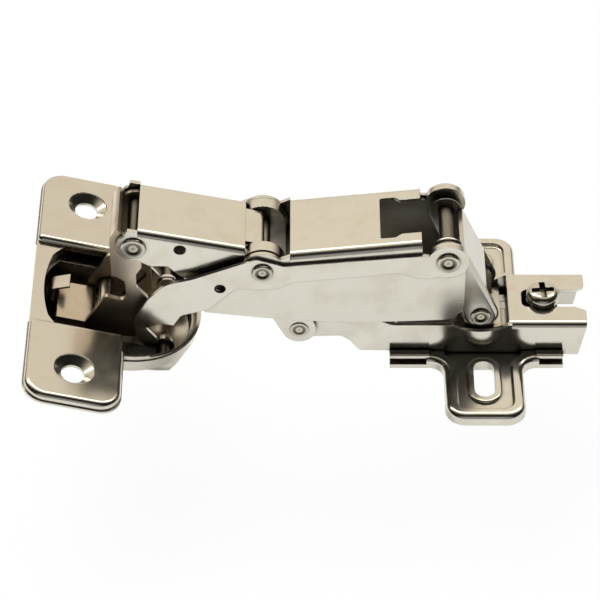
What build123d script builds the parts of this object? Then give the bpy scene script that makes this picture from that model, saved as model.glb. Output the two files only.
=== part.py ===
from build123d import *
import math
import os

os.makedirs("parts", exist_ok=True)

# Driving dimensions, in millimetres
# The origin is the centre of the mounting plate's face on the cabinet side panel.
# X runs along the arm towards its free end, Z points away from the panel.

SCREW_SPACING = 32.0         # plate screws, one wing to the other
CUP_SCREW_SPACING = 48.0     # cup screws, one wing to the other
CUP_DIAMETER = 35.0          # bore in the door
CUP_DEPTH = 11.4
CUP_TILT = 14.7              # the flange slopes this much, so the hinge stands 75 degrees open
RUN = 0.05                   # radial play of a pin in the hole that turns on it
SIDE_PLAY = 0.3              # between walls that slide past each other
SHEET = 0.9                  # plated steel strip of levers and arm
THIN_SHEET = 0.8             # strip of the outer channel and the cup

# Half widths of the nested channels, from the inside out
ARM_HALF = 7.8
JOG_STEP = 1.3
FORK_HALF = ARM_HALF - JOG_STEP
LINK_HALF = FORK_HALF + 0.1
CUP_LINK_HALF = FORK_HALF
INNER_HALF = FORK_HALF + SIDE_PLAY + SHEET
CHANNEL_HALF = INNER_HALF + SIDE_PLAY + THIN_SHEET
HOOK_SHEET = 0.7
HOOK_HALF = CHANNEL_HALF + HOOK_SHEET

# Pivot axes, all along Y, as x and z
# The two swinging links are equal and parallel, so the outer lever moves without turning.
ARM_PIVOT = (-37.5, 8.4)
FOOT_PIVOT = (-0.7, 11.1)
SWING = (-7.3, 17.6)
CENTRE_PIVOT = (ARM_PIVOT[0] + SWING[0], ARM_PIVOT[1] + SWING[1])
LINK_PIVOT = (FOOT_PIVOT[0] + SWING[0], FOOT_PIVOT[1] + SWING[1])
UPPER_PIVOT = (-70.3, 31.0)
CUP_PIVOT = (-65.0, 5.5)
FOOT_PIN = (-77.5, 9.0)
CUP_CENTRE = (-74.43, 10.25)
CUP_BACK = 17.5              # from CUP_CENTRE to the cup's back edge, which stays by the pivot in any cup

PIN_R = 1.5
SMALL_PIN_R = 1.2


# Helpers

def outline(*corners):
    """A face from corners (x, z) or (x, z, radius), each radius rounding its own corner."""
    turn = sum(a[0] * b[1] - b[0] * a[1] for a, b in zip(corners, corners[1:] + corners[:1]))
    if turn < 0:
        corners = corners[::-1]
    count = len(corners)
    places = [Vector(c[0], c[1]) for c in corners]
    starts, ends, mids = [], [], []
    for i, corner in enumerate(corners):
        radius = corner[2] if len(corner) > 2 else 0
        back = (places[i - 1] - places[i]).normalized()
        ahead = (places[(i + 1) % count] - places[i]).normalized()
        half = math.radians(back.get_angle(ahead)) / 2
        reach = radius / math.tan(half)
        centre = places[i] + (back + ahead).normalized() * (radius / math.sin(half))
        starts.append(places[i] + back * reach)
        ends.append(places[i] + ahead * reach)
        mids.append(centre - (back + ahead).normalized() * radius)
    edges = []
    for i in range(count):
        if (starts[i] - ends[i]).length > 1e-6:
            edges.append(ThreePointArc(starts[i], mids[i], ends[i]))
        following = (i + 1) % count
        if (ends[i] - starts[following]).length > 1e-6:
            edges.append(Line(ends[i], starts[following]))
    return make_face(edges)


def disc(place, radius):
    return Pos(place[0], place[1]) * Circle(radius)


def bar(first, first_r, second, second_r):
    """The outline of a strip with two round ends."""
    return make_hull((disc(first, first_r) + disc(second, second_r)).edges())


def slab(face, low, high):
    """A face in x and z, given its thickness from y = low to y = high."""
    return extrude(Plane.XZ.offset(-high) * face, amount=high - low)


def sides(face, inner, outer):
    """The same slab on both sides of the middle plane."""
    return slab(face, inner, outer) + slab(face, -outer, -inner)


def bore(place, radius):
    return slab(disc(place, radius), -40, 40)


def fold(part, first, second, half, radius):
    """Rounds the two long edges that run from first to second at y = half and -half."""
    middle = ((first[0] + second[0]) / 2, (first[1] + second[1]) / 2)
    chosen = []
    for y in (half, -half):
        goal = Vector(middle[0], y, middle[1])
        chosen.append(min(part.edges(), key=lambda e: (e.center() - goal).length))
    return fillet(chosen, radius)


def folded(side, first, second, half, sheet, bend):
    """Two walls of the given side outline, with a web folded across from first to second."""
    along = Vector(second[0] - first[0], 0, second[1] - first[1])
    spare = along.normalized() * 5
    start = Vector(first[0], 0, first[1]) - spare
    across = Plane(origin=start, x_dir=(0, 1, 0), z_dir=along.normalized())
    section = outline((-half, -60), (-half, 0, bend), (half, 0, bend), (half, -60))
    inside = half - sheet
    inner_bend = bend - sheet
    section -= outline((-inside, -61), (-inside, -sheet, inner_bend),
                       (inside, -sheet, inner_bend), (inside, -61))
    prism = extrude(across * section, along.length + 10)
    span = outline((first[0], -60), (first[0], 90), (second[0], 90), (second[0], -60))
    return (prism & slab(side & span, -half, half)) + sides(side - span, inside, half)


def rivet(place, radius, half, head_r, head_t):
    """A headed pin along Y, its heads outside y = half and -half."""
    head = slab(disc(place, head_r), half, half + head_t)
    outer_edge = head.edges().sort_by(Axis.Y)[-1]
    head = fillet(outer_edge, head_t * 0.6)
    head -= slab(disc(place, head_r * 0.55), half + head_t * 0.4, half + head_t * 2)
    return slab(disc(place, radius), -half, half) + head + mirror(head, Plane.XZ)


def save(part, name):
    export_step(part, f"parts/{name}.step")


# Mounting plate, one stamping: a raised ridge, two rails and two dished wings with slots

PLATE_FRONT = -19.0
PLATE_BACK = 16.4
PLATE_SHEET = 1.0
RAIL_INNER = ARM_HALF + 0.2
RAIL_OUTER = 10.4
RAIL_TOP = 3.0
RIDGE_HALF = ARM_HALF - SHEET - 0.5
RIDGE_TOP = 5.6
WING_WIDTH = 16.2
WING_TIP = 26.6
WING_TOP = 2.6
WING_CORNER = 4.0
WING_FLARE = 3.4
WING_ROLL = 1.3
WING_BORDER = 2.2
WING_DISH = 0.8
SLOT_WIDTH = 4.2
SLOT_LENGTH = 10.0
COLLAR_WIDTH = 1.4
COLLAR_RISE = 0.7

plate_length = PLATE_BACK - PLATE_FRONT
plate_middle = (PLATE_BACK + PLATE_FRONT) / 2
plate = Pos(plate_middle, 0, PLATE_SHEET / 2) * Box(plate_length, 2 * RAIL_OUTER, PLATE_SHEET)
rail_lip = Pos(plate_middle, RAIL_INNER + 0.9, RAIL_TOP - 0.45) * Box(plate_length, 1.8, 0.9)
rail_web = Pos(plate_middle, RAIL_INNER + 0.45, RAIL_TOP / 2) * Box(plate_length, 0.9, RAIL_TOP)
rail = rail_lip + rail_web
rail = fillet(rail.edges().filter_by(Axis.X).sort_by(Axis.Z)[-2:], 0.4)
rail -= Box(WING_WIDTH + 2 * WING_FLARE - 1.2, 60, 4 * RAIL_TOP)
plate += rail + mirror(rail, Plane.XZ)

ridge = Pos(plate_middle, 0, RIDGE_TOP / 2) * Box(plate_length - 3, 2 * RIDGE_HALF, RIDGE_TOP)
ridge = fillet(ridge.edges().filter_by(Axis.X).group_by(Axis.Z)[-1], 1.4)
ridge_space = Pos(plate_middle, 0, (RIDGE_TOP - PLATE_SHEET) / 2)
ridge_space *= Box(plate_length - 3, 2 * (RIDGE_HALF - PLATE_SHEET), RIDGE_TOP - PLATE_SHEET)
plate = plate + ridge - ridge_space

half_wing = WING_WIDTH / 2
half_root = half_wing + WING_FLARE
root_round = WING_FLARE - 0.5
wing_plan = outline(
    (-half_root, RAIL_INNER), (-half_root, RAIL_OUTER), (-half_wing, RAIL_OUTER, root_round),
    (-half_wing, WING_TIP, WING_CORNER), (half_wing, WING_TIP, WING_CORNER),
    (half_wing, RAIL_OUTER, root_round), (half_root, RAIL_OUTER), (half_root, RAIL_INNER))
wing = extrude(wing_plan, WING_TOP)
rim_edges = wing.faces().sort_by(Axis.Z)[-1].edges()
rim_edges = [e for e in rim_edges if e.center().Y > RAIL_OUTER + 0.3]
wing = fillet(rim_edges, WING_ROLL)


def wing_inset(border):
    """The wing's plan, inset by a border."""
    side = half_wing - border
    tip = WING_TIP - border
    return outline((-side, RAIL_OUTER + 0.6, 1.2), (-side, tip, WING_CORNER - border + 0.6),
                   (side, tip, WING_CORNER - border + 0.6), (side, RAIL_OUTER + 0.6, 1.2))


dish_floor = WING_TOP - WING_DISH
dish_side = half_wing - WING_BORDER
dish_spread = dish_side + WING_FLARE - 1.4
dish_tip = WING_TIP - WING_BORDER
dish_corner = WING_CORNER - WING_BORDER + 0.6
dish_plan = outline(
    (-dish_spread, RAIL_INNER - 2), (-dish_spread, RAIL_OUTER - 1.4), (-dish_side, RAIL_OUTER + 1.0, 2),
    (-dish_side, dish_tip, dish_corner), (dish_side, dish_tip, dish_corner),
    (dish_side, RAIL_OUTER + 1.0, 2), (dish_spread, RAIL_OUTER - 1.4), (dish_spread, RAIL_INNER - 2))
dish = extrude(Pos(0, 0, dish_floor) * dish_plan, 2 * WING_DISH)
dish = fillet(dish.edges().group_by(Axis.Z)[0], WING_DISH * 0.7)
under = extrude(wing_inset(PLATE_SHEET), dish_floor - PLATE_SHEET)
slot_place = Pos(0, SCREW_SPACING / 2, 0) * Rot(0, 0, 90)
collar_face = slot_place * SlotOverall(SLOT_LENGTH + 2 * COLLAR_WIDTH, SLOT_WIDTH + 2 * COLLAR_WIDTH)
slot_face = slot_place * SlotOverall(SLOT_LENGTH, SLOT_WIDTH)
collar = extrude(Pos(0, 0, dish_floor - PLATE_SHEET) * collar_face, PLATE_SHEET + COLLAR_RISE)
collar = fillet(collar.edges().group_by(Axis.Z)[-1], 0.45)
slot = extrude(slot_face, 10)
wing = wing - dish - under + collar - slot
plate = plate + wing + mirror(wing, Plane.XZ)
floor_gap = Pos(0, 0, WING_TOP) * Box(PLATE_BACK * 4, 2 * RAIL_INNER, 2 * (WING_TOP - PLATE_SHEET))
plate = plate - (floor_gap - ridge)

CLAMP_X = 12.3
CLAMP_R = 1.95
plate -= Pos(CLAMP_X, 0, RIDGE_TOP) * Cylinder(CLAMP_R + RUN, 4)
window = Pos(2.8, 3.4, RIDGE_TOP) * Box(4.4, 4.2, 4)
plate -= window
save(plate, "mounting_plate")

# Arm: a channel that slides over the ridge, its front jogged in to a narrow fork

ARM_TOP = 9.8
ARM_BOTTOM = 1.4
ARM_BACK = 21.0
TOP_FRONT = 5.2
FORK_R = 3.2
JOG_X = -28.0
JOG_LEAN = 8.0
JOG_R = 2.0
CLAMP_SLOT_HALF = 2.5
CLAMP_SLOT_FRONT = 8.0
DIP_R = 9.6
DIP_DEPTH = 1.8

wall_section = outline(
    (ARM_BACK + 2, ARM_HALF - SHEET), (ARM_BACK + 2, ARM_HALF), (JOG_X + 1.8, ARM_HALF, JOG_R + SHEET),
    (JOG_X - 1.8, FORK_HALF, JOG_R), (ARM_PIVOT[0] - 20, FORK_HALF), (ARM_PIVOT[0] - 20, FORK_HALF - SHEET),
    (JOG_X - 1.6, FORK_HALF - SHEET, JOG_R + SHEET), (JOG_X + 2.0, ARM_HALF - SHEET, JOG_R))
fork_top = ARM_PIVOT[1] + FORK_R
wall_height = fork_top + 1 - ARM_BOTTOM
lean = Vector(JOG_LEAN, 0, ARM_TOP - ARM_BOTTOM).normalized()
wall = extrude(Pos(0, 0, ARM_BOTTOM) * wall_section, wall_height / lean.Z, dir=lean)
wall_top = ARM_TOP - 0.2
wall_side = outline(
    (TOP_FRONT + 0.6, wall_top), (TOP_FRONT + 0.6, ARM_BOTTOM), (-22.5, ARM_BOTTOM + 1.2, 1),
    (-25.2, ARM_BOTTOM + 1.2, 1), (-29.0, ARM_PIVOT[1] - FORK_R + 0.3, 2),
    (ARM_PIVOT[0], ARM_PIVOT[1] - FORK_R), (ARM_PIVOT[0], fork_top), (-19.0, wall_top, 3))
wall_side += disc(ARM_PIVOT, FORK_R)
wall_side -= disc((FOOT_PIVOT[0], wall_top - DIP_DEPTH + DIP_R), DIP_R)
wall = wall & slab(wall_side, 0, 20)
arm = wall + mirror(wall, Plane.XZ)

rear_face = outline((TOP_FRONT, ARM_BOTTOM), (TOP_FRONT, ARM_TOP), (ARM_BACK, ARM_TOP),
                    (ARM_BACK - 1.4, ARM_BOTTOM))
rear = slab(rear_face, -ARM_HALF, ARM_HALF)
rear = fold(rear, (TOP_FRONT, ARM_TOP), (ARM_BACK, ARM_TOP), ARM_HALF, 1.3)
rear_space = outline((0, 0), (0, ARM_TOP - SHEET), (ARM_BACK + 5, ARM_TOP - SHEET), (ARM_BACK + 5, 0))
rear -= slab(rear_space, SHEET - ARM_HALF, ARM_HALF - SHEET)
arm += rear

floor_top = 7.0
arm += Pos(FOOT_PIVOT[0], 0, floor_top - SHEET / 2) * Box(9.0, 2 * ARM_HALF - SHEET, SHEET)
lug_half = LINK_HALF - SHEET - SIDE_PLAY
LUG_R = 2.9
lug_foot = outline((FOOT_PIVOT[0] - LUG_R, floor_top - 0.4), (FOOT_PIVOT[0] - LUG_R, FOOT_PIVOT[1]),
                   (FOOT_PIVOT[0] + LUG_R, FOOT_PIVOT[1]), (FOOT_PIVOT[0] + LUG_R, floor_top - 0.4))
lug = lug_foot + disc(FOOT_PIVOT, LUG_R)
arm += sides(lug, lug_half - 1.0, lug_half)
front_bridge = Pos(-26.0, 0, wall_top - SHEET / 2) * Box(7.0, 2 * FORK_HALF - SHEET, SHEET)
arm += front_bridge
slot_mouth = CLAMP_SLOT_HALF + 1.6
clamp_plan = outline(
    (CLAMP_SLOT_FRONT, -CLAMP_SLOT_HALF, 1.2), (ARM_BACK - 2.2, -CLAMP_SLOT_HALF),
    (ARM_BACK + 1, -slot_mouth), (ARM_BACK + 1, slot_mouth),
    (ARM_BACK - 2.2, CLAMP_SLOT_HALF), (CLAMP_SLOT_FRONT, CLAMP_SLOT_HALF, 1.2))
arm -= extrude(Pos(0, 0, ARM_TOP - 2) * clamp_plan, 4)
arm -= bore(ARM_PIVOT, PIN_R + RUN)
arm -= bore(FOOT_PIVOT, PIN_R + RUN)
save(arm, "hinge_arm")

# Clamp screw: cross recess, threaded into the ridge, its head holds the arm down

HEAD_R = 3.4
HEAD_T = 2.4
head_seat = ARM_TOP + RUN
screw = Pos(CLAMP_X, 0, head_seat + HEAD_T / 2) * Cylinder(HEAD_R, HEAD_T)
screw = fillet(screw.edges().group_by(Axis.Z)[-1], 1.6)
screw_end = PLATE_SHEET + 0.4
screw += Pos(CLAMP_X, 0, (head_seat + screw_end) / 2 + 0.1) * Cylinder(CLAMP_R, head_seat - screw_end + 0.2)
recess = Box(4.6, 1.2, 2.0) + Box(1.2, 4.6, 2.0)
screw -= Pos(CLAMP_X, 0, head_seat + HEAD_T - 0.5) * Rot(0, 0, 5) * recess
save(screw, "clamp_screw")

# Inner lever: cover with folded walls from the upper pivot to the arm pivot

UPPER_R = 3.4
CENTRE_R = 4.5
LOBE_R = 3.4
COVER_FRONT = (-69.3, 34.9)
COVER_BACK = (-48.2, 30.2)

cover_slope = (COVER_BACK[1] - COVER_FRONT[1]) / (COVER_BACK[0] - COVER_FRONT[0])


def cover_height(x):
    return COVER_FRONT[1] + (x - COVER_FRONT[0]) * cover_slope


cover = outline(
    (COVER_FRONT[0] - 2.0, cover_height(COVER_FRONT[0] - 2.0)), COVER_BACK, CENTRE_PIVOT,
    (-43.0, 18.0), (-52.5, 18.8, 5), (-61.6, 23.5, 1.5), (-63.6, 26.0, 1), (-67.2, 26.0, 2),
    (UPPER_PIVOT[0], UPPER_PIVOT[1] - UPPER_R + 0.4), (UPPER_PIVOT[0] - UPPER_R + 0.4, UPPER_PIVOT[1]))
inner_side = cover + disc(UPPER_PIVOT, UPPER_R)
inner_side += bar(CENTRE_PIVOT, CENTRE_R, ARM_PIVOT, LOBE_R)
inner = folded(inner_side, COVER_FRONT, COVER_BACK, INNER_HALF, SHEET, 1.5)
KNUCKLE = 1.7
inner += sides(disc(CENTRE_PIVOT, CENTRE_R), INNER_HALF - SHEET - KNUCKLE, INNER_HALF - SHEET / 2)
leg = Vector(ARM_PIVOT[0] - CENTRE_PIVOT[0], ARM_PIVOT[1] - CENTRE_PIVOT[1]).normalized()
beside = Vector(-leg.Y, leg.X)
leg_corners = []
for reach, offset in ((4.0, 4.2), (13.0, 3.7), (13.0, 3.7 - SHEET), (4.0, 4.2 - SHEET)):
    corner = Vector(*CENTRE_PIVOT) + leg * reach + beside * offset
    leg_corners.append((corner.X, corner.Y))
inner += slab(outline(*leg_corners), SHEET / 2 - INNER_HALF, INNER_HALF - SHEET / 2)
inner -= bore(CENTRE_PIVOT, PIN_R + RUN)
inner -= bore(ARM_PIVOT, PIN_R + RUN)
inner -= bore(UPPER_PIVOT, PIN_R + RUN)
inner -= bore((-61.1, 30.4), 1.25)
save(inner, "inner_lever")

# Outer channel: cover, deep side walls and the ears for the arm link

LINK_EAR_R = 4.1
CHANNEL_FRONT = (-39.3, 29.7)
CHANNEL_BACK = (-13.3, 32.8)
NOTCH_FRONT = -21.4
NOTCH_HALF = 5.0
NOTCH_RELIEF = 0.9

channel_side = outline(
    (CENTRE_PIVOT[0] + 2.0, CENTRE_PIVOT[1] + 2.0), CHANNEL_FRONT, CHANNEL_BACK, (-13.0, 29.8, 0.4),
    LINK_PIVOT, (-4.4, LINK_PIVOT[1] - 2), (-4.4, 12.4, 4.6), (-16.1, 11.8), (-29.2, 11.4, 20),
    (-43.8, 12.7, 20), (-57.4, 14.5, 0.6), (CENTRE_PIVOT[0] - 3.0, CENTRE_PIVOT[1] - 1.4))
channel_side += disc(LINK_PIVOT, LINK_EAR_R) + disc(CENTRE_PIVOT, CENTRE_R - 0.2)
channel = folded(channel_side, CHANNEL_FRONT, CHANNEL_BACK, CHANNEL_HALF, THIN_SHEET, 1.6)
relief = NOTCH_HALF + NOTCH_RELIEF
relief_end = NOTCH_FRONT + 3.0
notch_start = NOTCH_FRONT + 4.2
notch_plan = outline(
    (NOTCH_FRONT, -relief, 0.4), (relief_end, -relief, 0.8), (notch_start, -NOTCH_HALF, 0.8),
    (2, -NOTCH_HALF), (2, NOTCH_HALF),
    (notch_start, NOTCH_HALF, 0.8), (relief_end, relief, 0.8), (NOTCH_FRONT, relief, 0.4))
channel -= extrude(Pos(0, 0, 20) * notch_plan, 40)
channel -= bore(CENTRE_PIVOT, PIN_R + RUN)
channel -= bore(LINK_PIVOT, PIN_R + RUN)
save(channel, "outer_channel")

# Hook plates: outermost strips from the link pivot to the pivot in the cup

THROAT_R = 6.1
HOOK_END_R = 2.1
THROAT_FROM = -75
THROAT_TO = 125

hook = outline(
    (CENTRE_PIVOT[0] - 1.2, CENTRE_PIVOT[1] + 3.4, 2), (-40.5, 27.5, 2), (-13.3, 30.3, 0.5),
    (LINK_PIVOT[0], 30.0), (-4.2, LINK_PIVOT[1]), (-4.6, 25.6, 1), (-13.5, 24.0, 6), (-17.5, 25.9, 5),
    (-23.4, 25.1, 8), (-39.3, 23.2, 4), (-42.3, 21.3, 3), (-50.3, 21.5, 3), (-55.8, 15.7, 1),
    (-61.3, 14.1, 1.5), (-63.2, 10.8), (CUP_PIVOT[0] + 1, CUP_PIVOT[1]),
    (CUP_PIVOT[0], CUP_PIVOT[1] - HOOK_END_R),
    (-68.2, CUP_PIVOT[1] - HOOK_END_R + 0.9, 3), (-70.7, 8.2, 3), (-70.9, 12.6, 4), (-67.8, 18.5, 6),
    (-64.2, 22.5, 4), (-58.8, 24.0, 8))
hook += disc(LINK_PIVOT, LINK_EAR_R)
throat_ends = []
for angle in (THROAT_FROM, THROAT_TO):
    turned = math.radians(angle)
    throat_ends.append((CUP_PIVOT[0] + 12 * math.cos(turned), CUP_PIVOT[1] + 12 * math.sin(turned)))
throat_sector = outline(CUP_PIVOT, throat_ends[0], (CUP_PIVOT[0] + 15, CUP_PIVOT[1] - 12),
                        (CUP_PIVOT[0] + 15, CUP_PIVOT[1] + 15), throat_ends[1])
hook -= disc(CUP_PIVOT, THROAT_R) & throat_sector
hook += disc(CUP_PIVOT, HOOK_END_R)
hook -= disc((-53.3, 21.5), 1.15) + disc(CENTRE_PIVOT, PIN_R + RUN) + disc(LINK_PIVOT, PIN_R + RUN)
hook -= disc(CUP_PIVOT, SMALL_PIN_R + RUN)
hook_far = slab(hook, CHANNEL_HALF, HOOK_HALF)
save(hook_far, "hook_plate_far")
save(mirror(hook_far, Plane.XZ), "hook_plate_near")

# Arm link: short channel between the arm's lugs and the ears of the outer channel

LINK_FOOT_R = 3.7
LINK_TOP_R = 3.3
WEB_START = 6.2

link_length = math.hypot(*SWING)
link_lean = math.degrees(math.atan2(-SWING[0], SWING[1]))
link_side = bar((0, 0), LINK_FOOT_R, (0, link_length), LINK_TOP_R)
link = slab(link_side, -LINK_HALF, LINK_HALF)
link_edge = [e for e in link.edges() if abs(abs(e.center().Y) - LINK_HALF) < 0.01 and e.center().X > 2.5]
link_edge = sorted(link_edge, key=lambda e: -e.length)[:2]
link = fillet(link_edge, 1.0)
taper = (LINK_FOOT_R - LINK_TOP_R) / link_length
web_x = LINK_TOP_R - SHEET
link_space = outline((-20, -20), (-20, 40), (20, 40), (20, link_length - 0.6), (web_x, link_length - 0.6),
                     (web_x + taper * link_length, WEB_START), (20, WEB_START), (20, -20))
link -= slab(link_space, SHEET - LINK_HALF, LINK_HALF - SHEET)
link -= bore((0, 0), PIN_R + RUN)
link -= bore((0, link_length), PIN_R + RUN)
link = Pos(FOOT_PIVOT[0], 0, FOOT_PIVOT[1]) * Rot(0, -link_lean, 0) * link
save(link, "arm_link")

# Cup link: hangs from the upper pivot into the cup, round the rim, with seats inside for the foot pin

SEAT_R = SMALL_PIN_R + 0.25
SEAT_DEPTH = 0.5
CURL_IN = 3.9
CURL_OUT = CURL_IN + SHEET
CURL_LOW = 22.0
NECK_RIGHT = -70.2
NECK_LEFT = -72.4
BOOT_LOW = 5.2
BOOT_RIGHT = -68.0
BOOT_TOE = (-81.4, 9.0)

boot = outline(
    (UPPER_PIVOT[0] + 1.3, UPPER_PIVOT[1]), (UPPER_PIVOT[0] + 1.3, 24.4),
    (NECK_RIGHT, 22.4, 1), (NECK_RIGHT, 19.0, 1.5),
    (BOOT_RIGHT, 16.0, 1.5), (BOOT_RIGHT, BOOT_LOW, 2.5), (BOOT_TOE[0] + 1.0, BOOT_LOW, 2.5), (*BOOT_TOE, 2),
    (-78.6, 13.0, 3), (-76.6, 16.7, 0.8), (NECK_LEFT, 15.0, 1.2), (NECK_LEFT, 20.6, 1.2),
    (UPPER_PIVOT[0] - CURL_IN, CURL_LOW), (UPPER_PIVOT[0] - CURL_IN, UPPER_PIVOT[1]))
cup_link_side = boot + disc(UPPER_PIVOT, 3.0)
cup_link = sides(cup_link_side, CUP_LINK_HALF - SHEET, CUP_LINK_HALF)
seat_ends = disc(FOOT_PIN, SEAT_R) + disc((FOOT_PIN[0] + 7.0, FOOT_PIN[1] + 2.2), SEAT_R)
seat_ends += disc((FOOT_PIN[0] + 0.9, FOOT_PIN[1] - 4.5), SEAT_R)
seat_inner = CUP_LINK_HALF - SHEET
cup_link -= sides(make_hull(seat_ends.edges()), seat_inner - 1, seat_inner + SEAT_DEPTH)
curl_ring = disc(UPPER_PIVOT, CURL_OUT) - disc(UPPER_PIVOT, CURL_IN)
curl_part = outline(UPPER_PIVOT, (UPPER_PIVOT[0] - 6.6, UPPER_PIVOT[1] + 8),
                    (UPPER_PIVOT[0] - 12, UPPER_PIVOT[1] + 8), (UPPER_PIVOT[0] - 12, UPPER_PIVOT[1]))
curl = curl_ring & curl_part
curl += outline((UPPER_PIVOT[0] - CURL_OUT, CURL_LOW), (UPPER_PIVOT[0] - CURL_OUT, UPPER_PIVOT[1]),
                (UPPER_PIVOT[0] - CURL_IN, UPPER_PIVOT[1]), (UPPER_PIVOT[0] - CURL_IN, CURL_LOW))
cup_link += slab(curl, -CUP_LINK_HALF, CUP_LINK_HALF)
ear_fill = (disc(UPPER_PIVOT, CURL_IN + 0.2) & curl_part)
cup_link += sides(ear_fill, CUP_LINK_HALF - SHEET, CUP_LINK_HALF)
cup_link -= bore(UPPER_PIVOT, PIN_R + RUN)
save(cup_link, "cup_link")

# Cup: drawn steel bowl with a short round collar, a flatter well and two dished wings

cup_r = CUP_DIAMETER / 2

COLLAR = 3.4
WELL_R = cup_r - 0.8
WELL_HALF = 10.8
WELL_CORNER = 4.8
WELL_RISE_START = (cup_r - 12.5, -CUP_DEPTH)
WELL_RISE_END = (cup_r - 2.1, 5.1 - CUP_DEPTH)
WELL_FRONT_LOW = (3.0 - cup_r, -CUP_DEPTH)
WELL_FRONT_HIGH = (0.9 - cup_r, -COLLAR)
RIM_R = cup_r - 0.25
CUP_WING_TOP = 1.4
CUP_WING_DROP = 0.8
CUP_WING_FRONT = -0.3 - cup_r
CUP_WING_BACK = 1.7
CUP_WING_INNER = 11.6
CUP_WING_TIP = 32.6
CUP_HOLE_X = -8.1
CUP_HOLE_R = 2.4
CUP_SINK_R = 4.1
RIM_TOP = 0.4
MOUTH_FRONT = 2.0 - cup_r
MOUTH_R = 30.0
RIM_FALL = (cup_r - 10.5, 1.8)


def bowl(inset):
    """The bowl below the flange as a solid, inset from its outside by a wall."""
    height = COLLAR - THIN_SHEET - inset
    collar_part = Pos(0, 0, -THIN_SHEET - height / 2) * Cylinder(cup_r - inset, height)
    deep = CUP_DEPTH - inset
    well = Pos(0, 0, -deep / 2) * Cylinder(WELL_R - inset, deep)
    well = well & Pos(0, 0, -deep / 2) * Box(80, 2 * (WELL_HALF - inset), deep)
    well = fillet(well.edges().group_by(Axis.Z)[0], WELL_CORNER - inset)
    rise = (WELL_RISE_END[1] - WELL_RISE_START[1]) / (WELL_RISE_END[0] - WELL_RISE_START[0])
    lift = inset * math.sqrt(1 + rise ** 2)
    start = (WELL_RISE_START[0] - 40, WELL_RISE_START[1] - 40 * rise + lift)
    end = (WELL_RISE_END[0] + 40, WELL_RISE_END[1] + 40 * rise + lift)
    well -= slab(outline(start, end, (end[0], -90), (start[0], -90)), -40, 40)
    front = [(x + inset, z) for x, z in (WELL_FRONT_LOW, WELL_FRONT_HIGH)]
    front_side = outline((front[0][0], -90), front[0], front[1], (front[1][0], 0), (-90, 0), (-90, -90))
    well -= slab(front_side, -40, 40)
    return collar_part + (well & Pos(0, 0, -THIN_SHEET - 25) * Box(80, 80, 50))


wing_long = CUP_WING_TIP - CUP_WING_INNER
wing_wide = CUP_WING_BACK - CUP_WING_FRONT
wing_at = Pos((CUP_WING_BACK + CUP_WING_FRONT) / 2, CUP_WING_INNER + wing_long / 2, 0)
cup_wing_box = wing_at * Pos(0, 0, (CUP_WING_TOP - CUP_WING_DROP) / 2)
cup_wing = cup_wing_box * Box(wing_wide, wing_long, CUP_WING_TOP + CUP_WING_DROP)
cup_wing = fillet(cup_wing.edges().filter_by(Axis.Z).group_by(Axis.Y)[-1], 4.6)
cup_wing = fillet(cup_wing.edges().filter_by(Axis.Z).group_by(Axis.Y)[0], 1.2)
cup_wing = fillet(cup_wing.faces().sort_by(Axis.Z)[-1].edges(), 1.1)
cup_wing_space = wing_at * Pos(0, 0, (CUP_WING_TOP - THIN_SHEET) - 2)
cup_wing_space *= Box(wing_wide - 2 * THIN_SHEET, wing_long - 2 * THIN_SHEET, 4)
cup_wing_space = fillet(cup_wing_space.edges().filter_by(Axis.Z).group_by(Axis.Y)[-1], 3.6)
cup_wing_space -= Cylinder(cup_r + THIN_SHEET, 20)
cup_lip = wing_at * Pos(0, 0.15, -CUP_WING_DROP + 0.25) * Box(wing_wide + 0.5, wing_long + 0.3, 0.5)
cup_lip = fillet(cup_lip.edges().filter_by(Axis.Z).group_by(Axis.Y)[-1], 4.8)
cup_wing = cup_wing + cup_lip - cup_wing_space
hole_at = Pos(CUP_HOLE_X, CUP_SCREW_SPACING / 2, 0)
sink_depth = 1.3
sink = hole_at * Pos(0, 0, CUP_WING_TOP - sink_depth / 2 - 0.3)
dish = sink * Cone(CUP_HOLE_R + THIN_SHEET, CUP_SINK_R + THIN_SHEET, sink_depth)
tube_length = CUP_WING_DROP + 0.4
tube_at = hole_at * Pos(0, 0, tube_length / 2 - CUP_WING_DROP)
cup_wing += dish + tube_at * Cylinder(CUP_HOLE_R + THIN_SHEET, tube_length)
cup_wing -= sink * Cone(CUP_HOLE_R, CUP_SINK_R, sink_depth)
cup_wing -= hole_at * Cylinder(CUP_HOLE_R, 10)
cup_wing -= hole_at * Pos(0, 0, CUP_WING_TOP) * Cylinder(CUP_SINK_R, 0.62)
strip = Pos(CUP_WING_FRONT + 3.0, 0, -0.4) * Box(6.0, 2 * CUP_WING_INNER + 2, THIN_SHEET)
rim = Pos(0, 0, (RIM_TOP - THIN_SHEET) / 2) * Cylinder(RIM_R, RIM_TOP + THIN_SHEET)
cup = bowl(0) + rim + strip
cup += cup_wing + mirror(cup_wing, Plane.XZ)
cup -= Pos(0, 0, 5) * Box(80, 2 * CUP_WING_INNER, 10) & Cylinder(cup_r + 0.6, 30)
cup -= bowl(THIN_SHEET)
inside = Cylinder(cup_r - THIN_SHEET, 4)
mouth = inside & Box(80, 2 * CUP_WING_INNER, 4) & Pos(MOUTH_FRONT + MOUTH_R, 0, 0) * Cylinder(MOUTH_R, 4)
mouth += inside & Pos(40 + CUP_WING_BACK - 0.6, 0, 0) * Box(80, 80, 4)
cup -= mouth
cup -= slab(outline((RIM_FALL[0], 0), (RIM_FALL[0] + 20, -RIM_FALL[1]), (40, 9), (RIM_FALL[0], 9)), -40, 40)
cup_frame = Pos(CUP_CENTRE[0], 0, CUP_CENTRE[1]) * Rot(0, CUP_TILT, 0) * Pos(CUP_BACK - cup_r, 0, 0)
cup = cup_frame * cup
seat_end = cup_r - THIN_SHEET / 2
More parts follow.
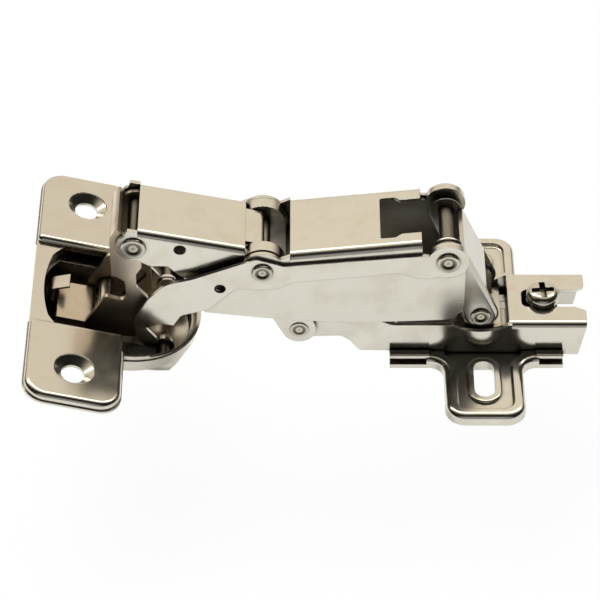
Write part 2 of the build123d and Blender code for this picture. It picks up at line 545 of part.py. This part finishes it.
cup -= bore(CUP_PIVOT, SMALL_PIN_R + 0.03) & (cup_frame * Cylinder(seat_end + 0.02, 60))
save(cup, "hinge_cup")

# Spring housing in the cup: it carries the foot pin and covers the closing spring

HOUSE_FRONT = 5.3 - cup_r
HOUSE_BACK = -4.4
HOUSE_HALF = CUP_LINK_HALF - SHEET - 0.35
HOUSE_TOP = -3.6
house_floor = -(CUP_DEPTH - THIN_SHEET) + 0.3
house_face = outline((HOUSE_FRONT, house_floor), (HOUSE_FRONT, HOUSE_TOP, 0.5), (HOUSE_BACK, HOUSE_TOP, 1.0),
                     (HOUSE_BACK + 1.0, HOUSE_TOP - 3, 1), (HOUSE_BACK + 2.0, house_floor))
house = slab(house_face, -HOUSE_HALF, HOUSE_HALF)
house_space = outline((HOUSE_FRONT - 5, house_floor - 1), (HOUSE_FRONT - 5, HOUSE_TOP - SHEET),
                      (HOUSE_BACK - SHEET, HOUSE_TOP - SHEET), (HOUSE_BACK + 2.0 - SHEET, house_floor - 1))
house -= slab(house_space, SHEET - HOUSE_HALF, HOUSE_HALF - SHEET)
house = cup_frame * house
save(house, "spring_housing")

# Pins, each a rivet through the walls that it joins

HEAD = 0.6
FLUSH_HEAD = 0.2             # the outer channel's walls pass over this one
save(rivet(ARM_PIVOT, PIN_R, INNER_HALF + RUN, 1.9, FLUSH_HEAD), "arm_lever_pin")
save(rivet(FOOT_PIVOT, PIN_R, LINK_HALF + RUN, 2.0, HEAD), "arm_link_pin")
save(rivet(LINK_PIVOT, PIN_R, HOOK_HALF + RUN, 2.3, HEAD), "lever_link_pin")
save(rivet(CENTRE_PIVOT, PIN_R, HOOK_HALF + RUN, 2.1, HEAD), "centre_pin")
save(rivet(UPPER_PIVOT, PIN_R, INNER_HALF + RUN, 2.5, HEAD), "upper_pin")
foot_half = seat_inner + SEAT_DEPTH - RUN
foot_pin = slab(disc(FOOT_PIN, SMALL_PIN_R), -foot_half, foot_half)
save(foot_pin, "cup_link_pin")

# Pivot studs of the hook plates, one in each side of the cup's collar

STUD_HEAD_R = 1.9
stud_head = slab(disc(CUP_PIVOT, STUD_HEAD_R), CHANNEL_HALF - RUN - HEAD, CHANNEL_HALF - RUN)
stud = slab(disc(CUP_PIVOT, SMALL_PIN_R), CHANNEL_HALF - RUN, cup_r) + stud_head
stud = stud & (cup_frame * Cylinder(seat_end, 60))
save(stud + mirror(stud, Plane.XZ), "cup_pivot_studs")

# Closing spring: a leaf that stands up behind the housing and bends over towards it

SPRING_T = 0.5
SPRING_WIDTH = 3.6
SPRING_PLAY = 0.15
SPRING_HIGH = HOUSE_HALF - SHEET - SPRING_PLAY
SPRING_LOW = SPRING_HIGH - SPRING_WIDTH
spring_x = HOUSE_FRONT - 1.7
spring_foot = house_floor + SPRING_T
spring_face = outline(
    (spring_x, house_floor + 2.6, 0.8), (spring_x, HOUSE_TOP + 1.6, 0.8), (spring_x + 3.6, HOUSE_TOP + 3.4),
    (spring_x + 3.8, HOUSE_TOP + 2.9), (spring_x + SPRING_T, HOUSE_TOP + 1.3, 0.4),
    (spring_x + SPRING_T, house_floor + 2.8, 0.3), (spring_x + 2.6, spring_foot, 0.3),
    (spring_x + 6.0, spring_foot), (spring_x + 6.0, house_floor), (spring_x + 2.4, house_floor, 0.8))
spring = cup_frame * slab(spring_face, SPRING_LOW, SPRING_HIGH)
save(spring, "closing_spring")
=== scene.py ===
import math

import bpy
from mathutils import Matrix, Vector


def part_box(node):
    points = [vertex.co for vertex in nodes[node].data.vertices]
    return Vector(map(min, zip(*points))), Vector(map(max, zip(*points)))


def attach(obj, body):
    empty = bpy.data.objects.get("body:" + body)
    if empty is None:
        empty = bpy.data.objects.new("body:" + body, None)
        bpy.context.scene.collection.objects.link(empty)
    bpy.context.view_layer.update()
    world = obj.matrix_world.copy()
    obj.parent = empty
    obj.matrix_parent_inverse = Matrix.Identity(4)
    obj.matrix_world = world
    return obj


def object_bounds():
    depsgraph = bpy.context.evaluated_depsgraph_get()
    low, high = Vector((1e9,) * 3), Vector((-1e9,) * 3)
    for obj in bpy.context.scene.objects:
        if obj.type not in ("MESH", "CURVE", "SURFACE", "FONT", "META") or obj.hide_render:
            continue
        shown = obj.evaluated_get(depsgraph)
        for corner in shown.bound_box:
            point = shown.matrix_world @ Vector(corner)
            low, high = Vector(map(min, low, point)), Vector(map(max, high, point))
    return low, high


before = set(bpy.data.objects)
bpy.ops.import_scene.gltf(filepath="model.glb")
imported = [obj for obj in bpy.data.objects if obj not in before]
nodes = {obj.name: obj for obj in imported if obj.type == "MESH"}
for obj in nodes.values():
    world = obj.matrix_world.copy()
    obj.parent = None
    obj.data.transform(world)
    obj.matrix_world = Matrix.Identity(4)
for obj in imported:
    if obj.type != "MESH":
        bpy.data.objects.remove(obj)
cad_low, cad_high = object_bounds()


# Mounting plate
# One stamping of bright nickel-plated steel strip, screwed to the cabinet's side panel through two slotted
# wings. Rolling leaves faint lines, the plating dries with a warm haze, and deep recesses and seams get
# painted shade, darker and rougher.

class Sock:
    """A shader socket that takes part in sums, so that 1 - mask adds the Math node it needs."""

    def __init__(self, finish, socket):
        self.finish = finish
        self.socket = socket

    def math(self, operation, first, second=0.0):
        return self.finish.node("ShaderNodeMath", {"operation": operation}, {0: first, 1: second})

    def __add__(self, other):
        return self.math("ADD", self, other)

    def __radd__(self, other):
        return self.math("ADD", other, self)

    def __sub__(self, other):
        return self.math("SUBTRACT", self, other)

    def __rsub__(self, other):
        return self.math("SUBTRACT", other, self)

    def __mul__(self, other):
        return self.math("MULTIPLY", self, other)

    def __rmul__(self, other):
        return self.math("MULTIPLY", other, self)

    def __neg__(self):
        return self.math("MULTIPLY", self, -1.0)

    def __abs__(self):
        return self.math("ABSOLUTE", self)

    def root(self):
        return self.math("SQRT", self)

    def at_most(self, limit):
        return self.math("MINIMUM", self, limit)

    def step(self, low, high):
        """0 below low, 1 above high, and smooth between them."""
        settings = {"interpolation_type": "SMOOTHSTEP"}
        ends = {"Value": self, "From Min": low, "From Max": high}
        return self.finish.node("ShaderNodeMapRange", settings, ends)


class Finish:
    """A node tree of one material or of the world, with one method that adds a node."""

    def __init__(self, owner):
        owner.use_nodes = True
        self.owner = owner
        self.tree = owner.node_tree
        self.tree.nodes.clear()

    def node(self, kind, settings=None, sockets=None, out=0):
        made = self.tree.nodes.new(kind)
        for name, value in (settings or {}).items():
            setattr(made, name, value)
        for name, value in (sockets or {}).items():
            if isinstance(value, Sock):
                self.tree.links.new(value.socket, made.inputs[name])
            else:
                made.inputs[name].default_value = value
        return Sock(self, made.outputs[out]) if made.outputs else None

    def mix(self, mask, first, second):
        """A colour between two others."""
        return self.node("ShaderNodeMix", {"data_type": "RGBA"}, {"Factor": mask, 6: first, 7: second}, out=2)

    def noise(self, place, scale, detail):
        values = {"Vector": place, "Scale": scale, "Detail": detail, "Roughness": 0.55}
        return self.node("ShaderNodeTexNoise", {}, values)

    def along_axes(self, place):
        """The x, y and z of a place."""
        parted = self.node("ShaderNodeSeparateXYZ", {}, {"Vector": place}).socket.node
        return [Sock(self, part) for part in parted.outputs]


ALONG_X = (60.0, 1500.0, 1500.0)      # noise scale of the drawn lines, for each metre
ALONG_Z = (1500.0, 1500.0, 60.0)
ALL_WAYS = (800.0, 800.0, 800.0)
WAVES = 75.0
CLOUDS = 170.0
NICKEL = (0.665, 0.645, 0.58, 1)
NICKEL_HAZE = (0.585, 0.54, 0.455, 1)
# The colour of the painted shade in recesses, along seams and in rivet rings.
SHADE_TONE = (0.12, 0.106, 0.083, 1)
HAZE_SHARE = 0.6
RECESS_REACH = 0.011                  # walls this near cast painted shade on the plating
RECESS_OPEN = (0.14, 0.68)            # from full painted shade to none, by the share of open sky
# Seams and contact lines between parts get painted shade too.
SEAM_REACH = 0.0013
SEAM_OPEN = (0.45, 0.93)
SEAM_SHARE = 0.75
EDGE_ROUND = 0.00016
RELIEF_DEPTH = 0.00006
WAVE_HEIGHT = 3.0
LINE_HEIGHT = 0.12


def plated(name, seed, grain=ALONG_X, tint=NICKEL, haze=NICKEL_HAZE, shade_tone=SHADE_TONE,
           depth=RECESS_REACH, gloss=0.14, extra_shade=None):
    """Nickel plate with drawn lines along its grain, haze, and painted shade, darker and rougher, in recesses
    narrower than depth and along seams.
    """
    finish = Finish(bpy.data.materials.new(name))
    place = finish.node("ShaderNodeTexCoord", out="Object")
    shift = {"Vector": place, "Location": (seed, seed * 0.7, seed * 0.3)}
    settled = finish.node("ShaderNodeMapping", {}, shift)
    drawn = finish.node("ShaderNodeMapping", {}, {**shift, "Scale": grain})
    lines = finish.noise(drawn, 1.0, 3.0)
    wave = finish.noise(settled, WAVES, 1.0)
    cloud = finish.noise(settled, CLOUDS, 4.0).step(0.42, 0.72)
    sky = finish.node("ShaderNodeAmbientOcclusion", {"samples": 8}, {"Distance": depth}, out="AO")
    seam = finish.node("ShaderNodeAmbientOcclusion", {"samples": 6}, {"Distance": SEAM_REACH}, out="AO")
    # Painted shade: the colour darkens towards the shade tone, and roughens, where ambient occlusion finds
    # near walls, in recesses and along seams.
    painted_shade_mask = (1 - sky.step(*RECESS_OPEN)) + SEAM_SHARE * (1 - seam.step(*SEAM_OPEN))
    # Extra painted shade from the caller, such as a rivet head's ring and dimple.
    if extra_shade:
        painted_shade_mask = painted_shade_mask + extra_shade(finish, place)
    painted_shade_mask = painted_shade_mask.at_most(1.0)
    height = wave * WAVE_HEIGHT + lines * LINE_HEIGHT
    edge = finish.node("ShaderNodeBevel", {"samples": 4}, {"Radius": EDGE_ROUND})
    relief = {"Strength": 0.25, "Distance": RELIEF_DEPTH, "Height": height, "Normal": edge}
    shader = finish.node("ShaderNodeBsdfPrincipled", {}, {
        "Base Color": finish.mix(painted_shade_mask, finish.mix(cloud * HAZE_SHARE, tint, haze), shade_tone),
        "Metallic": 1.0,
        "Roughness": gloss + 0.05 * cloud + 0.05 * lines + 0.12 * painted_shade_mask,
        "Normal": finish.node("ShaderNodeBump", {}, relief)})
    finish.node("ShaderNodeOutputMaterial", {}, {"Surface": shader})
    return finish.owner


def dress(node_name, material):
    """Gives a solid its finish."""
    data = nodes[node_name].data
    data.materials.clear()
    data.materials.append(material)


dress("mounting_plate", plated("plate_nickel", 1.3, depth=0.004, gloss=0.15))

# Hinge arm
# A channel of the same plated steel strip, folded lengthwise and jogged in at its front. It slides over the
# plate's ridge, and the clamp screw holds it there.

dress("hinge_arm", plated("arm_nickel", 2.1, depth=0.006, gloss=0.13))

# Clamp screw
# Turned steel, plated, with a domed head and a pressed cross recess. It is screwed into the plate's ridge and
# holds the arm down.

STEEL = (0.60, 0.57, 0.49, 1)
STEEL_HAZE = (0.45, 0.41, 0.34, 1)
dress("clamp_screw", plated("screw_nickel", 5.2, ALL_WAYS, STEEL, STEEL_HAZE, depth=0.003, gloss=0.16))

# Levers
# The inner lever and the outer channel, both stamped and folded from plated steel strip, one inside the
# other. They are riveted together, and to the arm and the links.

lever_nickel = plated("lever_nickel", 3.7, depth=0.03, gloss=0.16)
dress("inner_lever", lever_nickel)
dress("outer_channel", plated("channel_nickel", 4.4, depth=0.03, gloss=0.19))

# Lever tongue
# The end of the inner lever's cover, between its two knuckles. It is one strip with the cover, and its last
# edge is bent down in front of the pin.

TONGUE_HALF = 0.0048
TONGUE_SHEET = 0.0009
TONGUE_LENGTH = 0.0029
TONGUE_BEND = 0.0011
TONGUE_TURN = 75
TONGUE_STEPS = 8
TONGUE_FALL = math.radians(-12.56)
TONGUE_BACK = 0.0034                  # from the pin's axis to where the tongue starts
TONGUE_RISE = 0.0042

pin_low, pin_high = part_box("centre_pin")
pin_axis = (pin_low + pin_high) / 2
tongue_start = Vector((pin_axis.x - TONGUE_BACK, 0, pin_axis.z + TONGUE_RISE))
ahead_on = Vector((math.cos(TONGUE_FALL), 0, math.sin(TONGUE_FALL)))
out_of_sheet = Vector((-ahead_on.z, 0, ahead_on.x))
bend_centre = tongue_start + ahead_on * TONGUE_LENGTH - out_of_sheet * TONGUE_BEND
upper = [tongue_start]
lower = [tongue_start - out_of_sheet * TONGUE_SHEET]
for step in range(TONGUE_STEPS + 1):
    turned = math.radians(90 - TONGUE_TURN * step / TONGUE_STEPS) + TONGUE_FALL
    spoke = Vector((math.cos(turned), 0, math.sin(turned)))
    upper.append(bend_centre + spoke * TONGUE_BEND)
    lower.append(bend_centre + spoke * (TONGUE_BEND - TONGUE_SHEET))
section = upper + lower[::-1]
corners = []
for side in (TONGUE_HALF, -TONGUE_HALF):
    corners += [place + Vector((0, side, 0)) for place in section]
count = len(section)
faces = [tuple(range(count)), tuple(range(2 * count - 1, count - 1, -1))]
for place in range(count):
    after = (place + 1) % count
    faces.append((place, place + count, after + count, after))
tongue_mesh = bpy.data.meshes.new("lever_tongue")
tongue_mesh.from_pydata(corners, [], faces)
tongue_mesh.materials.append(lever_nickel)
tongue = bpy.data.objects.new("lever_tongue", tongue_mesh)
bpy.context.scene.collection.objects.link(tongue)
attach(tongue, "inner_lever")

# Hook plates
# Two flat strips of plated steel, stamped to shape and riveted to the outer channel's walls. Their hooked
# ends turn on the studs in the cup.

hook_nickel = plated("hook_nickel", 6.5, gloss=0.15)
dress("hook_plate_near", hook_nickel)
dress("hook_plate_far", hook_nickel)

# Links
# Short channels of plated steel strip that join the levers to the arm and to the cup, on the rivets. The
# cup's link has a brownish satin finish.

LINK_NICKEL = (0.55, 0.535, 0.485, 1)
BROWN_NICKEL = (0.66, 0.58, 0.47, 1)
BROWN_HAZE = (0.52, 0.44, 0.34, 1)
# The colour of the cup link's painted shade in recesses and seams.
BROWN_SHADE_TONE = (0.13, 0.105, 0.075, 1)
LINK_RECESS = 0.013
dress("arm_link", plated("arm_link_nickel", 7.9, ALONG_Z, LINK_NICKEL, depth=LINK_RECESS, gloss=0.17))
brown_satin = plated("cup_link_nickel", 8.3, ALONG_Z, BROWN_NICKEL, BROWN_HAZE, BROWN_SHADE_TONE,
                     depth=LINK_RECESS, gloss=0.26)
dress("cup_link", brown_satin)

# Cup
# A bowl with two wings for its screws, drawn from plated steel strip, which sits in the door. A folded
# housing and a leaf spring lie inside it.

CUP_NICKEL = (0.63, 0.605, 0.535, 1)
HOUSING_RECESS = 0.005
dress("hinge_cup", plated("cup_nickel", 8.6, ALL_WAYS, CUP_NICKEL, gloss=0.14))
dress("spring_housing", plated("housing_nickel", 9.1, tint=BROWN_HAZE, depth=HOUSING_RECESS, gloss=0.2))
dress("closing_spring", plated("spring_steel", 10.4, tint=STEEL, depth=HOUSING_RECESS, gloss=0.18))

# Rivets
# Steel pins, their heads pressed flat over the walls that they join. Each head has a ring of painted shade
# between its rim and its dimpled middle, and fainter painted shade in the middle.

PRESSED_RING = 0.55                   # both as shares of the head's radius
DIMPLE = 0.2
# How dark the painted shade of the ring and of the dimple is.
RING_SHADE = 0.8
DIMPLE_SHADE = 0.5
PINS = ("arm_lever_pin", "arm_link_pin", "lever_link_pin", "centre_pin",
        "upper_pin", "cup_link_pin", "cup_pivot_studs")


def riveted(pin, seed):
    """Steel for one pin, with painted shade in a ring and a dimple about the pin's own axis."""
    low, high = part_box(pin)
    axis = (low + high) / 2
    head = (high.x - low.x) / 2

    # Painted shade: a dark ring between the head's rim and its middle, and fainter shade in the dimpled
    # middle.
    def punch_shade(finish, place):
        along_x, _, along_z = finish.along_axes(place)
        side = along_x - axis.x
        up = along_z - axis.z
        radius = (side * side + up * up).root() * (1 / head)
        ring = 1 - abs(radius - PRESSED_RING).step(0.1, 0.26)
        dimple = 1 - radius.step(DIMPLE * 0.5, DIMPLE)
        return RING_SHADE * ring + DIMPLE_SHADE * dimple

    return plated(f"{pin}_steel", seed, ALL_WAYS, STEEL, STEEL_HAZE, depth=0.012, gloss=0.2, extra_shade=punch_shade)


for number, pin in enumerate(PINS):
    dress(pin, riveted(pin, 11.5 + number))

# Floor
# A white sheet under the hinge, low enough for the cup to swing down past the plate's face when the hinge is
# fully open. It is seen as white, and keeps a faint shadow.

FLOOR_DROP = 0.03
FLOOR_HALF = 4.0
PAPER = (0.83, 0.85, 0.86, 1)
WHITE_SEEN = 0.94                     # how much of the sheet's shading gives way to plain white
WHITE_MIRRORED = 0.08

floor_z = cad_low.z - FLOOR_DROP
floor_mesh = bpy.data.meshes.new("floor")
floor_mesh.from_pydata(
    [(-FLOOR_HALF, -FLOOR_HALF, floor_z), (FLOOR_HALF, -FLOOR_HALF, floor_z),
     (FLOOR_HALF, FLOOR_HALF, floor_z), (-FLOOR_HALF, FLOOR_HALF, floor_z)], [], [(0, 1, 2, 3)])
floor = bpy.data.objects.new("floor", floor_mesh)
bpy.context.scene.collection.objects.link(floor)
paper = Finish(bpy.data.materials.new("white_paper"))
seen = paper.node("ShaderNodeLightPath", out="Is Camera Ray")
rays = seen.socket.node.outputs
mirrored = Sock(paper, rays["Is Glossy Ray"]) + Sock(paper, rays["Is Transmission Ray"])
share = seen * WHITE_SEEN + mirrored * WHITE_MIRRORED
matt = paper.node("ShaderNodeBsdfDiffuse", {}, {"Color": PAPER})
white = paper.node("ShaderNodeEmission", {}, {"Color": (1, 1, 1, 1), "Strength": 1.0})
sheet = paper.node("ShaderNodeMixShader", {}, {0: share, 1: matt, 2: white})
paper.node("ShaderNodeOutputMaterial", {}, {"Surface": sheet})
floor_mesh.materials.append(paper.owner)

# Light
# A studio with a broad warm wall behind and above the hinge, a strip lamp high on that wall, and a dim room
# in front, so that bright metal shows them all. A softbox overhead lights the floor.

DARK_ROOM = (0.014, 0.014, 0.012, 1)
FRONT_GLOW = (0.45, 0.45, 0.44, 1)
WARM_WALL = (0.97, 0.87, 0.73, 1)
STRIP_GLOW = (5.5, 5.4, 5.1, 1)
STRIP_HEIGHT = math.radians(64)
SOFTBOX_SIZE = (0.5, 0.35)
SOFTBOX_POWER = 3.2
SOFTBOX_PLACE = Vector((-0.25, 0.05, 0.6))
SOFTBOX_AIM = Vector((-0.03, 0, 0))

world = bpy.data.worlds.new("studio")
bpy.context.scene.world = world
studio = Finish(world)
aside, ahead, above = studio.along_axes(studio.node("ShaderNodeTexCoord", out="Generated"))
wall = (ahead * 0.7 + above * 0.72).step(0.42, 0.82) * (1 - 0.45 * aside.step(0.45, 0.85))
front = (-ahead).step(0.72, 0.95) * above.step(0.0, 0.2)
off_strip = above * math.cos(STRIP_HEIGHT) - ahead * math.sin(STRIP_HEIGHT)
strip = (1 - abs(off_strip).step(0.04, 0.13)) * (1 - abs(aside).step(0.55, 0.75)) * ahead.step(0.0, 0.1)
room = studio.mix(front, DARK_ROOM, FRONT_GLOW)
room = studio.mix(wall, room, WARM_WALL)
room = studio.mix(strip, room, STRIP_GLOW)
glow = studio.node("ShaderNodeBackground", {}, {"Color": room, "Strength": 1.0})
studio.node("ShaderNodeOutputWorld", {}, {"Surface": glow})

softbox_lamp = bpy.data.lights.new("softbox", "AREA")
softbox_lamp.shape = "RECTANGLE"
softbox_lamp.size, softbox_lamp.size_y = SOFTBOX_SIZE
softbox_lamp.energy = SOFTBOX_POWER
softbox = bpy.data.objects.new("softbox", softbox_lamp)
softbox.location = SOFTBOX_PLACE
softbox.rotation_euler = (SOFTBOX_AIM - SOFTBOX_PLACE).to_track_quat("-Z", "Y").to_euler()
softbox.visible_glossy = False
bpy.context.scene.collection.objects.link(softbox)

# Camera
# It looks down on the hinge from its near side, from a little over half a metre away. A long lens keeps the
# hinge's edges nearly parallel.

CAMERA_PLACE = (-0.03734, -0.4014, 0.3969)
CAMERA_TILT = math.radians(46.0)
LENS = 163.3
SENSOR = 36.0

camera_data = bpy.data.cameras.new("camera")
camera_data.sensor_width = SENSOR
camera_data.lens = LENS
camera_data.clip_start = 0.01
camera_data.clip_end = 20.0
camera = bpy.data.objects.new("camera", camera_data)
camera.location = CAMERA_PLACE
camera.rotation_euler = (CAMERA_TILT, 0, 0)
bpy.context.scene.collection.objects.link(camera)
bpy.context.scene.camera = camera
bpy.context.scene.view_settings.view_transform = "Standard"
